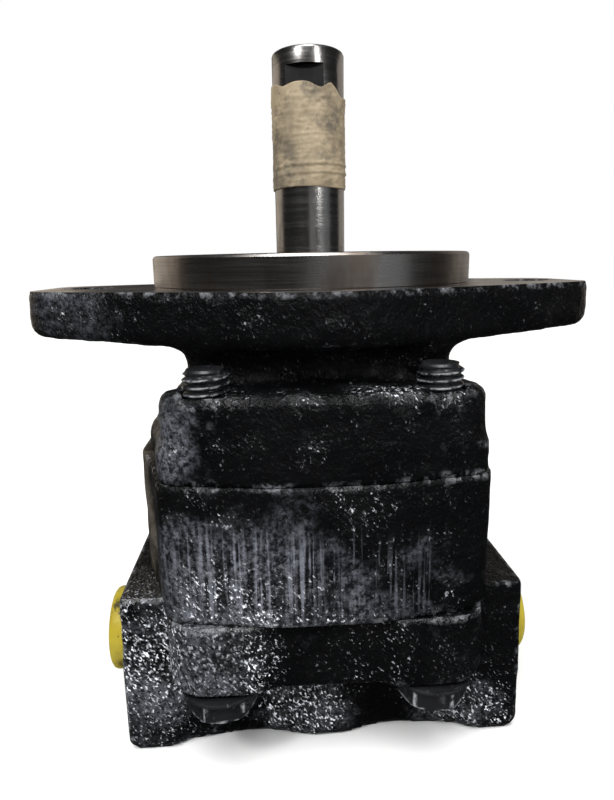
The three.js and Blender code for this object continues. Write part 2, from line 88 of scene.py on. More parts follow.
# ---------------------------------------------------------------- outlines
def outline(corners, chord=0.16):
    """Points around [x, y, corner radius] corners, each arc in short chords."""
    points, count = [], len(corners)
    for i, (x, y, radius) in enumerate(corners):
        here = np.array([x, y])
        if not radius:
            points.append(here)
            continue
        back = np.array(corners[i - 1][:2]) - here
        ahead = np.array(corners[(i + 1) % count][:2]) - here
        back, ahead = back / np.linalg.norm(back), ahead / np.linalg.norm(ahead)
        half = math.acos(np.clip(back @ ahead, -1, 1)) / 2
        middle = (back + ahead) / np.linalg.norm(back + ahead)
        centre = here + middle * radius / math.sin(half)
        start = here + back * radius / math.tan(half) - centre
        end = here + ahead * radius / math.tan(half) - centre
        sweep = math.atan2(start[0] * end[1] - start[1] * end[0], start @ end)
        steps = max(1, math.ceil(abs(sweep) / chord))
        for k in range(steps + 1):
            a = sweep * k / steps
            turn = np.array([[math.cos(a), -math.sin(a)], [math.sin(a), math.cos(a)]])
            points.append(centre + turn @ start)
    return np.array(points)


def mirrored(right):
    """Outline corners on the right, and the same ones on the left."""
    return list(right) + [[-x, y, r] for x, y, r in reversed(right)]


def fourfold(quarter):
    """Outline corners from one quarter, mirrored left to right and near to far."""
    near = [[x, MID_Y - y, r] for x, y, r in reversed(quarter)]
    return mirrored(near + [[x, MID_Y + y, r] for x, y, r in quarter])


# ---------------------------------------------------------------- distance fields
def unit(value):
    """A value kept between 0 and 1."""
    return np.clip(value, 0, 1)


def polygon(u, v, points):
    """Signed distance to a closed outline, negative inside."""
    best = None
    inside = None
    for (x0, y0), (x1, y1) in zip(points, np.roll(points, -1, axis=0)):
        ex, ey = x1 - x0, y1 - y0
        length = ex * ex + ey * ey
        if length < 1e-12:
            continue
        wu, wv = u - x0, v - y0
        t = unit((wu * ex + wv * ey) / length)
        d = (wu - t * ex) ** 2 + (wv - t * ey) ** 2
        best = d if best is None else np.minimum(best, d)
        rising = np.sign(y1 - y0)
        crosses = ((v >= y0) != (v >= y1)) & (wu * (y1 - y0) * rising < (v - y0) * ex * rising)
        inside = crosses if inside is None else inside ^ crosses
    return np.where(inside, -1, 1) * np.sqrt(best)


def hull(x, y, discs, steps=180):
    """Distance to the convex hull of [x, y, radius] discs."""
    best = None
    for a in np.arange(steps) * 2 * math.pi / steps:
        c, s = math.cos(a), math.sin(a)
        reach = max(cx * c + cy * s + r for cx, cy, r in discs)
        d = x * c + y * s - reach
        best = d if best is None else np.maximum(best, d)
    return best


def disc(u, v, cu, cv, radius):
    return np.sqrt((u - cu) ** 2 + (v - cv) ** 2) - radius


def join(a, b, r):
    """Union with a concave fillet of radius r."""
    rounded = np.sqrt(np.maximum(r - a, 0) ** 2 + np.maximum(r - b, 0) ** 2)
    return np.maximum(r, np.minimum(a, b)) - rounded


def meet(a, b, r=0.0):
    """Intersection with a convex edge of radius r."""
    if not r:
        return np.maximum(a, b)
    rounded = np.sqrt(np.maximum(r + a, 0) ** 2 + np.maximum(r + b, 0) ** 2)
    return np.minimum(-r, np.maximum(a, b)) + rounded


def cut(a, b, r=0.0):
    """What is left of a once b is taken away."""
    return meet(a, -b, r)


class Grid:
    """A regular grid of sample points around a box, in mm."""

    def __init__(self, low, high, step=VOXEL):
        self.step = step
        self.low = np.array(low, float) - 2.3 * step
        count = np.ceil((np.array(high, float) - self.low) / step + 2.3).astype(int) + 1
        axes = [self.low[i] + step * np.arange(count[i]) for i in range(3)]
        self.shape = tuple(count)
        self.x = axes[0][:, None, None]
        self.y = axes[1][None, :, None]
        self.z = axes[2][None, None, :]


def surface(field, grid):
    """Vertices and quads of the zero level of a field, one vertex per crossed cell (surface nets)."""
    field = np.broadcast_to(field, grid.shape).astype(np.float32)
    field = np.where(np.abs(field) < 1e-4, np.float32(1e-4), field)
    inside = field < 0
    total = np.zeros([n - 1 for n in grid.shape] + [3], np.float32)
    count = np.zeros([n - 1 for n in grid.shape], np.float32)
    corners = [(i, j, k) for i in (0, 1) for j in (0, 1) for k in (0, 1)]

    def at(array, c):
        return array[tuple(slice(c[a], c[a] - 1 or None) for a in range(3))]

    for a in corners:
        for axis in range(3):
            if a[axis]:
                continue
            b = tuple(v + (i == axis) for i, v in enumerate(a))
            fa, fb = at(field, a), at(field, b)
            crossed = at(inside, a) != at(inside, b)
            t = np.where(crossed, fa / np.where(crossed, fa - fb, 1), 0)
            for i in range(3):
                along = t if i == axis else np.where(crossed, np.float32(a[i]), 0)
                total[..., i] += along
            count += crossed
    cells = count > 0
    index = np.full(cells.shape, -1, np.int64)
    index[cells] = np.arange(cells.sum())
    place = np.argwhere(cells) + total[cells] / count[cells][:, None]
    verts = grid.low + place * grid.step
    quads = []
    for axis in range(3):
        u, v = (axis + 1) % 3, (axis + 2) % 3
        shift = tuple(slice(None, -1) if i == axis else slice(1, -1) for i in range(3))
        ahead = tuple(slice(1, None) if i == axis else slice(1, -1) for i in range(3))
        one, two = inside[shift], inside[ahead]
        for sign in (False, True):
            where = np.argwhere((one != two) & (one == sign))
            base = where + np.array([0 if i == axis else 1 for i in range(3)])
            ring = []
            for du, dv in ((-1, -1), (0, -1), (0, 0), (-1, 0)):
                c = base.copy()
                c[:, u] += du
                c[:, v] += dv
                ring.append(index[c[:, 0], c[:, 1], c[:, 2]])
            ring = np.stack(ring, 1)
            quads.append(ring if sign else ring[:, ::-1])
    return verts, np.concatenate(quads), field


def sample(field, grid, verts):
    """Field values at points, trilinear."""
    p = (verts - grid.low) / grid.step
    base = np.clip(np.floor(p).astype(int), 0, np.array(grid.shape) - 2)
    f = p - base
    out = 0
    for i in (0, 1):
        for j in (0, 1):
            for k in (0, 1):
                w = f[:, 0] if i else 1 - f[:, 0]
                w = w * (f[:, 1] if j else 1 - f[:, 1])
                w = w * (f[:, 2] if k else 1 - f[:, 2])
                out = out + w * field[base[:, 0] + i, base[:, 1] + j, base[:, 2] + k]
    return out


def lumps(points, size, seed, waves=28):
    """Smooth noise of about unit height, from waves in random directions."""
    rng = np.random.default_rng(seed)
    way = rng.normal(size=(waves, 3))
    way /= np.linalg.norm(way, axis=1)[:, None]
    length = size * rng.uniform(0.6, 1.6, waves)
    phase = rng.uniform(0, 2 * math.pi, waves)
    out = np.zeros(len(points))
    for w, s, f in zip(way, length, phase):
        out += np.sin(points @ w * (2 * math.pi / s) + f)
    return out / math.sqrt(waves / 2)


# ---------------------------------------------------------------- meshes
def new_object(name, verts, faces, materials, face_material=None, sharp=None):
    """A mesh object from millimetre points; faces are lists or one array of quads."""
    mesh = bpy.data.meshes.new(name)
    mesh.from_pydata((np.asarray(verts) * MM).tolist(), [], [list(map(int, f)) for f in faces])
    mesh.validate()
    for m in materials:
        mesh.materials.append(m)
    if face_material is not None:
        mesh.polygons.foreach_set("material_index", np.asarray(face_material, np.int32))
    mesh.polygons.foreach_set("use_smooth", np.ones(len(mesh.polygons), bool))
    if sharp is not None:
        mesh.set_sharp_from_angle(angle=math.radians(sharp))
    mesh.update()
    obj = bpy.data.objects.new(name, mesh)
    bpy.context.scene.collection.objects.link(obj)
    return obj


def mark(obj, name, values):
    """Stores a number at each point of an object, for its material to read."""
    attribute = obj.data.attributes.new(name, "FLOAT", "POINT")
    attribute.data.foreach_set("value", values.astype(np.float32))


def casting(name, node, field, grid, materials, still, seed, height=0.14, planes=()):
    """Mesh of a casting with the lumps of cast skin, and how sharp each point's edge is."""
    verts, quads, values = surface(field, grid)
    step = 0.6 * grid.step
    ahead = [sample(values, grid, verts + step * e) for e in np.eye(3)]
    behind = [sample(values, grid, verts - step * e) for e in np.eye(3)]
    grad = np.stack([a - b for a, b in zip(ahead, behind)], 1)
    normal = grad / np.maximum(np.linalg.norm(grad, axis=1), 1e-6)[:, None]
    around = sum(sample(values, grid, verts + 1.3 * s * e) for e in np.eye(3) for s in (-1, 1))
    edge = np.clip(around / 6 * 2.7, -1, 1)
    loose = unit(still(verts))
    rough = 0.65 * lumps(verts, 9.0, seed) + 0.35 * lumps(verts, 4.0, seed + 1)
    verts = verts + normal * (height * loose * rough)[:, None]
    for plane in planes:
        level = np.abs(verts[:, 2] - plane) < 0.62 * grid.step
        verts[level, 2] = plane
    verts = np.clip(verts, *(np.array(corner) / MM for corner in CAD_BOX))
    obj = new_object(name, verts, quads, materials)
    mark(obj, "edge", edge)
    mark(obj, "cast", loose)
    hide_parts(node)
    return obj


def lathe(profile, segments=96, radius_at=None, close=False):
    """Points and faces of a profile of [r, z] turned about Z; r = 0 ends on the axis."""
    verts, faces, rows = [], [], []
    for r, z in profile:
        if r < 1e-9:
            rows.append([len(verts)])
            verts.append([0, 0, z])
            continue
        rows.append(list(range(len(verts), len(verts) + segments)))
        for k in range(segments):
            a = 2 * math.pi * k / segments
            rr = r if radius_at is None else radius_at(a, z, r)
            verts.append([rr * math.cos(a), rr * math.sin(a), z])
    pairs = list(zip(rows, rows[1:])) + ([(rows[-1], rows[0])] if close else [])
    for low, high in pairs:
        for k in range(segments):
            n = (k + 1) % segments
            if len(low) == 1:
                faces.append([low[0], high[n], high[k]])
            elif len(high) == 1:
                faces.append([low[k], low[n], high[0]])
            else:
                faces.append([low[k], low[n], high[n], high[k]])
    return np.array(verts, float), faces


def moved(verts, x=0.0, y=0.0, z=0.0, turn=0.0):
    """Points turned about Z, in degrees, then shifted."""
    a = math.radians(turn)
    c, s = math.cos(a), math.sin(a)
    v = np.asarray(verts, float)
    return np.stack([v[:, 0] * c - v[:, 1] * s + x, v[:, 0] * s + v[:, 1] * c + y, v[:, 2] + z], 1)


def merge(parts):
    """Several (verts, faces) in one."""
    verts, faces, at = [], [], 0
    for v, f in parts:
        verts.append(np.asarray(v, float))
        faces += [[i + at for i in face] for face in f]
        at += len(v)
    return np.concatenate(verts), faces


# ---------------------------------------------------------------- casting shapes
HOUSING = outline(fourfold([[56, 42, 12], [50.5, 56.5, 10], [47.3, 68, 10], [45.6, 76.4, 7], [14, 82, 60]]))
SHOULDER = outline(fourfold([[44.9, 76.2, 8], [14, 82, 60]]))
LOBES = outline(fourfold([[52.8, 42, 12], [49, 56, 10], [44.9, 76.2, 8], [14, 82, 60]]))
PLATE = outline(fourfold([[54.6, 42, 12], [48, 58, 12], [44.6, 81, 11.5], [20, 81, 5], [15, 78.5, 5]]))
NECK = outline(mirrored([[38, -40.5, 9], [38, 45, 9]]))
FOOT = outline(
    mirrored([
        [25, -34.6, 0], [43, -36.2, 6], [49, BLOCK_NEAR, 6], [BLOCK_X, BLOCK_NEAR, 4.6],
        [BLOCK_X, BLOCK_FAR, 4.6], [44, BLOCK_FAR, 6], [39, 34, 10], [36, 80, 18],
    ])
)


def cut_seats(body, x, y, depth):
    """Cuts a cover's bearing bores and dowel holes; depth counts from its face on the housing."""
    for cy in (0, CENTRES):
        body = cut(body, np.maximum(disc(x, y, 0, cy, BEARING_R), depth - BEARING_DEPTH))
    for px, py in DOWEL_XY:
        body = cut(body, np.maximum(disc(x, y, px, py, DOWEL_R), depth - DOWEL_DEPTH))
    return body


def shaft_end_cover(paint, machined):
    seam = HOUSING_TOP + COVER_SEAM
    g = Grid([-EAR_END_X, -58, seam], [EAR_END_X, 106, FLANGE_TOP])
    x, y, z = g.x, g.y, g.z
    waist = WAIST_DEPTH * unit((68 - np.abs(y - MID_Y)) / 9) * unit((z - LOBE_TOP) / 5)
    waist = waist * unit((np.abs(x) - 30) / 8)
    wall, lobe_wall = polygon(x, y, SHOULDER), polygon(x, y, LOBES)
    shoulder = meet(wall + 0.02 * (z - 93) + waist, z - COVER_TOP, 3.8)
    lobes = meet(lobe_wall, z - LOBE_TOP, 8)
    body = np.maximum(join(shoulder, lobes, 2.5), lobe_wall)
    neck = meet(polygon(x, y, NECK), z - 135, 0)
    body = join(body, neck, 3.5)
    ear_x = EAR_END_X - EAR_CORNER_R
    ears = [[sx * ear_x, sy * EAR_CORNER_Y, EAR_CORNER_R] for sx in (-1, 1) for sy in (-1, 1)]
    plan = hull(x, y, [[0, 0, FLANGE_R]] + ears)
    slope = (EAR_END_Z - EAR_UNDERSIDE) / (EAR_END_X - EAR_ROOT_X)
    underside = (EAR_UNDERSIDE + np.maximum(np.abs(x) - EAR_ROOT_X, 0) * slope - z) / math.hypot(1, slope)
    flange = meet(plan, underside, 3.8)
    body = join(body, meet(flange, z - FLANGE_TOP, 1.7), 6)
    body = np.maximum(body, seam - z)
    for sx, sy in SCREW_XY.values():
        hole = np.maximum(disc(x, y, sx, sy, SCREW_HOLE_R - 0.15), wall + HOLE_WALL)
        body = cut(body, np.maximum(hole, z - (SCREW_TIP + 0.5)), 0.3)
    for s in (-1, 1):
        body = cut(body, disc(x, y, s * EAR_HOLE_X, 0, EAR_HOLE_R), 0.8)
    body = cut_seats(body, x, y, z - HOUSING_TOP)
    body = cut(body, disc(x, y, 0, 0, 13.1))
    body = cut(body, np.maximum(disc(x, y, 0, 0, 24), 136 - z))

    def still(v):
        top = unit((FLANGE_TOP - 0.6 - v[:, 2]) / 1.2)
        foot = unit((v[:, 2] - HOUSING_TOP - 0.6) / 2.5)
        ears = unit((np.hypot(np.abs(v[:, 0]) - EAR_HOLE_X, v[:, 1]) - 7.6) / 1.5)
        middle = unit((np.hypot(v[:, 0], v[:, 1]) - 26) / 3)
        return top * foot * ears * middle

    obj = casting("shaft_end_cover_casting", "shaft_end_cover", body, g, [paint, machined], still, 11,
                  planes=(seam, FLANGE_TOP))
    centres = np.array([p.center[:] for p in obj.data.polygons]) / MM
    normals = np.array([p.normal[:] for p in obj.data.polygons])
    flat = (centres[:, 2] > FLANGE_TOP - 0.5) & (normals[:, 2] > 0.9)
    bore = (np.hypot(centres[:, 0], centres[:, 1]) < 26) & (centres[:, 2] > 100)
    obj.data.polygons.foreach_set("material_index", (flat | bore).astype(np.int32))
    return obj


def gear_housing(paint):
    low, high = HOUSING_BOTTOM + CASTING_SEAM, HOUSING_TOP - CASTING_SEAM
    g = Grid([-56, -58, low], [56, 106, high])
    x, y, z = g.x, g.y, g.z
    level = np.abs(z - HOUSING_MID)
    wall = polygon(x, y, HOUSING)
    body = np.maximum(wall, level - (HOUSING_HALF - CASTING_SEAM))
    for cy in (0, CENTRES):
        body = cut(body, disc(x, y, 0, cy, 28.3))
    for s in (-1, 1):
        body = cut(body, disc(x, y, s * 20, MID_Y, 9))
    track = np.sqrt(x**2 + (y - np.clip(y, 0, CENTRES)) ** 2)
    body = cut(body, np.maximum(np.abs(track - 35.2) - 1.5, HOUSING_HALF - 2.2 - level))
    for sx, sy in SCREW_XY.values():
        body = cut(body, np.maximum(disc(x, y, sx, sy, SCREW_HOLE_R), wall + HOLE_WALL))
    for px, py in DOWEL_XY:
        body = cut(body, np.maximum(disc(x, y, px, py, DOWEL_R), HOUSING_HALF - DOWEL_DEPTH - level))

    def still(v):
        inner = unit((np.hypot(v[:, 0], v[:, 1] - np.clip(v[:, 1], 0, CENTRES)) - 38) / 2)
        return inner * unit((HOUSING_HALF - 0.5 - np.abs(v[:, 2] - HOUSING_MID)) / 2)

    return casting("gear_housing_casting", "gear_housing", body, g, [paint], still, 23,
                   height=0.09, planes=(low, high))


def port_end_cover(paint, machined):
    top = HOUSING_BOTTOM - CASTING_SEAM
    g = Grid([-BLOCK_X, -58, 0], [BLOCK_X, 106, top])
    x, y, z = g.x, g.y, g.z
    wall = polygon(x, y, PLATE)
    plate = meet(wall, BOLT_SEAT - z, 3.5)
    foot = np.maximum(meet(polygon(x, y, FOOT), -z, 4.2), z - FOOT_TOP)
    boss = np.maximum(meet(disc(x, y, 0, 0, 38.5), -z, 4.5), z - FOOT_TOP)
    lower = join(foot, boss, 1.2)
    for s in (-1, 1):
        draft = 0.022 * np.maximum(z - 8, 0)
        corners = [[34, -35.2, 0], [43, -36.2, 6], [49, BLOCK_NEAR, 6],
                   [BLOCK_X, BLOCK_NEAR, 3.0], [BLOCK_X, BLOCK_FAR, 3.0], [34, BLOCK_FAR, 0]]
        sides = polygon(x, y, outline([[s * cx, cy, r] for cx, cy, r in corners][::s]))
        block = meet(meet(sides, -z, 5.0), np.abs(x) - BLOCK_X + draft, 1.2)
        lower = join(lower, block, 1.2)
    lower = np.maximum(np.maximum(lower, BLOCK_NEAR - y), np.abs(x) - BLOCK_X)
    body = join(plate, meet(lower, z - top, 1.0), 1.8)
    body = np.maximum(np.maximum(body, z - top), -z)
    for sx, sy in SCREW_XY.values():
        body = cut(body, np.maximum(disc(x, y, sx, sy, 12.0), z - BOLT_SEAT), 0.8)
        body = cut(body, np.maximum(disc(x, y, sx, sy, SCREW_HOLE_R), wall + HOLE_WALL))
    body = cut_seats(body, x, y, HOUSING_BOTTOM - z)
    port = disc(y, z, PORT_Y, PORT_Z, 12.75)
    body = cut(body, np.maximum(port, BLOCK_X - 22 - np.abs(x)))
    body = cut(body, np.maximum(disc(y, z, PORT_Y, PORT_Z, 17.0), BLOCK_X - 0.8 - np.abs(x)), 0.2)
    body = cut(body, np.maximum(disc(y, z, PORT_Y, PORT_Z, 8.0), 30 - np.abs(x)))
    for s in (-1, 1):
        a = np.array([s * 34.0, PORT_Y, PORT_Z])
        b = np.array([s * 21.0, MID_Y, HOUSING_BOTTOM + 8])
        d = (b - a) / np.linalg.norm(b - a)
        along = (x - a[0]) * d[0] + (y - a[1]) * d[1] + (z - a[2]) * d[2]
        off = np.sqrt(np.maximum((x - a[0]) ** 2 + (y - a[1]) ** 2 + (z - a[2]) ** 2 - along**2, 0))
        body = cut(body, np.maximum(off - 8.0, -along))

    def still(v):
        seam = unit((HOUSING_BOTTOM - 0.9 - v[:, 2]) / 2)
        seats = np.ones(len(v))
        for sx, sy in SCREW_XY.values():
            near = np.hypot(v[:, 0] - sx, v[:, 1] - sy)
            seats = np.minimum(seats, unit((near - 12.3) / 1.5))
        ports = unit((np.hypot(v[:, 1] - PORT_Y, v[:, 2] - PORT_Z) - 17.5) / 1.5)
        ports = np.where(np.abs(v[:, 0]) > BLOCK_X - 0.6, 0, np.maximum(ports, np.abs(v[:, 0]) < 28))
        base = unit(v[:, 2] / 1.5)
        return seam * seats * ports * base

    return casting("port_end_cover_casting", "port_end_cover", body, g, [paint, machined], still, 37,
                   planes=(0, top))


# ---------------------------------------------------------------- turned and milled pieces
def pilot_ring(machined):
    profile = [
        [13.4, 134.6], [13.4, 138.0], [19.4, 138.0], [19.4, 147.3], [21.2, 147.3], [21.2, 149.3],
        [19.4, 149.3], [19.4, 152.6], [19.9, PILOT_TOP], [49.9, PILOT_TOP], [50.45, 152.95],
        [PILOT_R, 152.3], [PILOT_R, 144.2], [50.5, 143.9], [50.5, 142.0], [26.0, 142.0], [26.0, 134.6],
    ]
    v, f = lathe(profile, 192, close=True)
    ring = new_object("shaft_end_cover_pilot", v, f, [machined], sharp=28)
    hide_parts("shaft_end_cover")
    return ring


def gear_points(phase, teeth=12, module=4.0, pressure=math.radians(25), tip=28.0, root=19.0):
    pitch = teeth * module / 2
    base = pitch * math.cos(pressure)
    inv = lambda a: math.tan(a) - a
    half = (math.pi * module / 2 - 0.15) / (2 * pitch)
    width = lambda r: half + inv(pressure) - inv(math.acos(min(1, base / r)))
    flank = [(root, width(base) + 0.05), (root + 0.35, width(base) + 0.005)]
    flank += [(r, width(r)) for r in (base, 22.6, 23.6, 24.7, 25.8, 26.9, tip)]
    points = []
    for tooth in range(teeth):
        middle = phase + 2 * math.pi * tooth / teeth
        for r, w in flank:
            points.append([r * math.cos(middle - w), r * math.sin(middle - w)])
        for r, w in reversed(flank):
            points.append([r * math.cos(middle + w), r * math.sin(middle + w)])
    return points


def slab(points, low, high):
    """An extruded outline with flat caps."""
    n = len(points)
    verts = [[px, py, z] for z in (low, high) for px, py in points]
    faces = [[k, (k + 1) % n, n + (k + 1) % n, n + k] for k in range(n)]
    faces += [list(range(n - 1, -1, -1)), list(range(n, 2 * n))]
    return np.array(verts, float), faces


def combine(obj, how, other):
    """Gives an object a boolean with another one, which bake applies."""
    m = obj.modifiers.new(other.name, "BOOLEAN")
    m.operation, m.object, m.solver = how, other, "EXACT"


def drive_shaft(steel, dark):
    """Gear and shaft in one piece, with the milled flat near the free end."""
    low = JOURNAL_BOTTOM
    rows = [[0, low], [11.9, low], [12.7, low + 0.8], [12.7, 113.0], [SHAFT_R, 115.0], [SHAFT_R, 150.0]]
    rows += [[SHAFT_R, z] for z in np.linspace(165, 204, 9)]
    rows += [[SHAFT_R, 212.1], [SHAFT_R - 0.25, 212.65], [SHAFT_R - 0.8, SHAFT_TOP]]
    rows += [[3.1, SHAFT_TOP], [2.6, 212.6], [0.6, 210.5], [0, 210.3]]
    v, f = lathe(rows, 160)
    shaft = new_object("drive_shaft_turned", v, f, [steel, dark])
    # the cut faces of the flat take the near-black copy of the steel, a painted shade
    tool = slab([[-20, -30], [20, -30], [20, -9.5], [-20, -9.5]], 177.2, 208.0)
    mill = new_object("mill_tool", moved(tool[0], turn=-10), tool[1], [steel, dark], face_material=[1] * 6)
    gv, gf = slab(gear_points(math.pi / 2), GEAR_BOTTOM, GEAR_TOP)
    gear = new_object("drive_gear_teeth", gv, gf, [steel], sharp=30)
    combine(shaft, "DIFFERENCE", mill)
    combine(shaft, "UNION", gear)
    bake(shaft, sharp=30)
    for part in (mill, gear):
        bpy.data.objects.remove(part)
    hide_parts("drive_gear_shaft")
    return shaft


def bake(obj, sharp):
    """Applies an object's modifiers to its mesh; edges over sharp degrees stay sharp."""
    bpy.context.view_layer.update()
    done = bpy.data.meshes.new_from_object(obj.evaluated_get(bpy.context.evaluated_depsgraph_get()))
    obj.modifiers.clear()
    obj.data = done
    done.polygons.foreach_set("use_smooth", np.ones(len(done.polygons), bool))
    done.set_sharp_from_angle(angle=math.radians(sharp))


def idler_shaft(steel):
    """The driven gear and its shaft, set half a tooth round from the drive gear."""
    low = JOURNAL_BOTTOM
    rows = [[0, low], [11.9, low], [12.7, low + 0.8], [12.7, 112.2], [11.9, 113.0], [0, 113.0]]
    shaft = new_object("idler_gear_shaft_turned", *lathe(rows, 96), [steel])
    gv, gf = slab(gear_points(math.pi / 2 + math.pi / 12), GEAR_BOTTOM, GEAR_TOP)
    gear = new_object("idler_teeth", gv, gf, [steel])
    combine(shaft, "UNION", gear)
    bake(shaft, sharp=30)
    bpy.data.objects.remove(gear)
    shaft.data.transform(Matrix.Translation((0, CENTRES * MM, 0)))
    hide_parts("idler_gear_shaft")
    return shaft


def cap_screw(name, place, turn, steel):
    """A hexagon screw, head down: chamfered head, plain shank and a thread at the tip."""
    head = BOLT_SEAT - HEAD_GAP
    low = head - HEAD_HEIGHT

    def hexagon(a, z, r):
        wall = HEX_FLATS / 2 / math.cos(a % (math.pi / 3) - math.pi / 6)
        return min(r, wall, HEX_CORNER_R)

    profile = [[0, low + 0.35], [7.6, low + 0.35], [8.3, low], [8.9, low], [9.5, low + 0.25],
               [10.2, low + 0.65], [11.2, low + 1.25], [12, low + 1.8], [12, head - 0.8],
               [10.9, head - 0.35], [9.3, head - 0.3], [9.2, head], [0, head]]
    hv, hf = lathe(profile, 144, radius_at=hexagon)

    def thread(a, z, r):
        if z < THREAD_START - 0.1 or r < 5.4:
            return r
        turns = (z / THREAD_PITCH - a / (2 * math.pi)) % 1.0
        ridge = min(1.0, max(0.0, (abs(turns - 0.5) * 2 - 0.12) / 0.72))
        return r - THREAD_DEPTH * ridge * min(1.0, max(0.0, (z - THREAD_START) / 3.0))

    rows = [[0, head - 1], [SCREW_R, head - 1], [SCREW_R, THREAD_START - 0.5]]
    rows += [[SCREW_R, z] for z in np.arange(THREAD_START, SCREW_TIP - 1.25, THREAD_PITCH / 9)]
    tip = [[SCREW_R - 0.1, SCREW_TIP - 1.25], [SCREW_R - 0.75, SCREW_TIP - 0.6], [SCREW_R - 1.4, SCREW_TIP]]
    rows += tip + [[SCREW_R - 2.2, SCREW_TIP], [0, SCREW_TIP - 0.15]]
    tv, tf = lathe(rows, 64, radius_at=thread)
    v, f = merge([(hv, hf), (tv, tf)])
    x, y = place
    obj = new_object(f"cap_screw_{name}_threaded", moved(v, x, y, 0, turn), f, [steel], sharp=35)
    # the edge values mark where the screw steel paints a highlight: hexagon corners, the head's outer rim and
    # the thread crests
    radius = np.hypot(v[:, 0], v[:, 1])
    rim = (np.abs(v[:, 2] - low - 0.4) < 0.3) * (radius > 9.2)
    corner = unit((radius - 10.62) / 0.2) + 0.8 * rim
    crest = unit((radius - SCREW_R + 0.35) / 0.3) * 0.7
    wear_and_edge_highlight = np.where(v[:, 2] < BOLT_SEAT, corner, crest)
    mark(obj, "edge", wear_and_edge_highlight)
    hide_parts(f"cap_screw_{name}")
    return obj


def washer(name, place, steel):
    low, high = BOLT_SEAT - 1.35, BOLT_SEAT - 0.15
    rows = [[6.7, low], [11.2, low], [11.6, low + 0.3], [11.6, high - 0.4], [11.35, high], [6.7, high]]
    v, f = lathe(rows, 96, close=True)
    obj = new_object(f"washer_{name}_flat", moved(v, *place), f, [steel], sharp=40)
    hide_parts(f"washer_{name}")
    return obj


def port_plug(side, plastic):
    seat, outer = BLOCK_X - 0.5, 70.7
    rows = [[0, 52.0], [11.4, 52.0], [12.1, 53.0]]
    for k in range(6):
        z = 53.4 + 1.35 * k
        rows += [[11.7, z], [12.2, z + 0.35], [12.2, z + 0.75], [11.7, z + 1.1]]
    rows += [[11.7, seat - 0.2], [12.4, seat], [13.9, seat], [14.0, seat + 0.3], [14.0, seat + 1.0],
             [13.8, outer - 1.3], [13.45, outer - 0.45], [12.9, outer - 0.05], [12.5, outer],
             [10.8, outer], [10.4, outer - 0.4], [10.05, 56.2], [9.6, 55.6], [0, 55.6]]
    v, f = lathe(rows, 128)
    v = np.stack([side * v[:, 2], v[:, 1] * side + PORT_Y, PORT_Z + v[:, 0]], 1)
    name = "left" if side < 0 else "right"
    obj = new_object(f"port_plug_{name}_moulded", v, f, [plastic], sharp=40)
    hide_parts(f"port_plug_{name}")
    return obj


def shaft_tape(paper):
    """Masking tape wrapped round the shaft: puckered, with a torn top edge and a lifted corner."""
    around, up = 220, 84
    low, high = 173.0, 201.5
    inner = SHAFT_R + 0.1
    angles = np.arange(around) * 2 * math.pi / around
    near = np.degrees(angles)  # 270 faces the viewer
    edge = high + 1.0 - 0.5 * lumps(np.stack([12 * np.cos(angles), 12 * np.sin(angles), angles * 0], 1), 7, 5)
    dip = lambda at, width, depth: depth * np.exp(-(((near - at + 180) % 360 - 180) / width) ** 2)
    edge = edge - dip(336, 22, 3.2) - dip(20, 30, 1.6) - dip(284, 14, 0.5) + dip(244, 12, 0.9)
    edge = np.clip(edge, high - 4, high + 2)
    foot = low + 0.25 + 0.12 * np.sin(angles * 3 + 1) + dip(330, 40, -0.2)
    foot = np.clip(foot, low, low + 0.6)
    outer_v, inner_v = [], []
    for j in range(up + 1):
        t = j / up
        z = foot * (1 - t) + edge * t
        p = np.stack([12 * np.cos(angles), 12 * np.sin(angles), z], 1)
        r = SHAFT_R + 0.42 + 0.10 * lumps(p * [1, 1, 0.55], 6.0, 41) + 0.05 * lumps(p * [1, 1, 1.6], 2.4, 43)
        front = 0.35 + 0.65 * unit(np.cos(angles - math.radians(300)) + 0.4)
        for at, size in ((177.2, 0.20), (179.7, 0.26)):
            wave = at + 0.5 * np.sin(angles * 1.0 + 2.2)
            ridge = np.exp(-(((z - wave) / 0.42) ** 2))
            groove = np.exp(-(((z - wave + 0.7) / 0.35) ** 2))
            r = r + front * size * (ridge - 0.75 * groove)
        lift = np.exp(-(((near - 205) / 17) ** 2)) * unit((z - 193.0) / 6.0) ** 2
        r = r + 0.55 * lift
        r = np.clip(r, inner + 0.12, SHAFT_R + 0.85)
        outer_v.append(np.stack([r * np.cos(angles), r * np.sin(angles), z], 1))
        inner_r = np.maximum(inner, r - 0.28 - 0.2 * (1 - t))
        inner_r = np.where(t < 0.9, inner, inner_r)
        inner_v.append(np.stack([inner_r * np.cos(angles), inner_r * np.sin(angles), z], 1))
    rows = outer_v + inner_v[::-1]
    verts = np.concatenate(rows)
    faces, total = [], len(rows)
    for j in range(total):
        a, b = j * around, ((j + 1) % total) * around
        faces += [[a + k, a + (k + 1) % around, b + (k + 1) % around, b + k] for k in range(around)]
    obj = new_object("shaft_tape_wrap", verts, faces, [paper])
    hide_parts("shaft_tape")
    return obj


def lip_seal(rubber):
    low = 138.3
    rows = [[19.1, low], [19.1, low + 7.6], [18.7, low + 8.0], [13.4, low + 8.0], [12.3, low + 7.4],
            [11.45, low + 5.2], [12.6, low + 3.9], [12.9, low + 1.5], [17.1, low + 1.5], [17.1, low]]
    v, f = lathe(rows[::-1], 128, close=True)
    obj = new_object("shaft_lip_seal_moulded", v, [list(reversed(x)) for x in f], [rubber], sharp=40)
    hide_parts("shaft_lip_seal")
    return obj


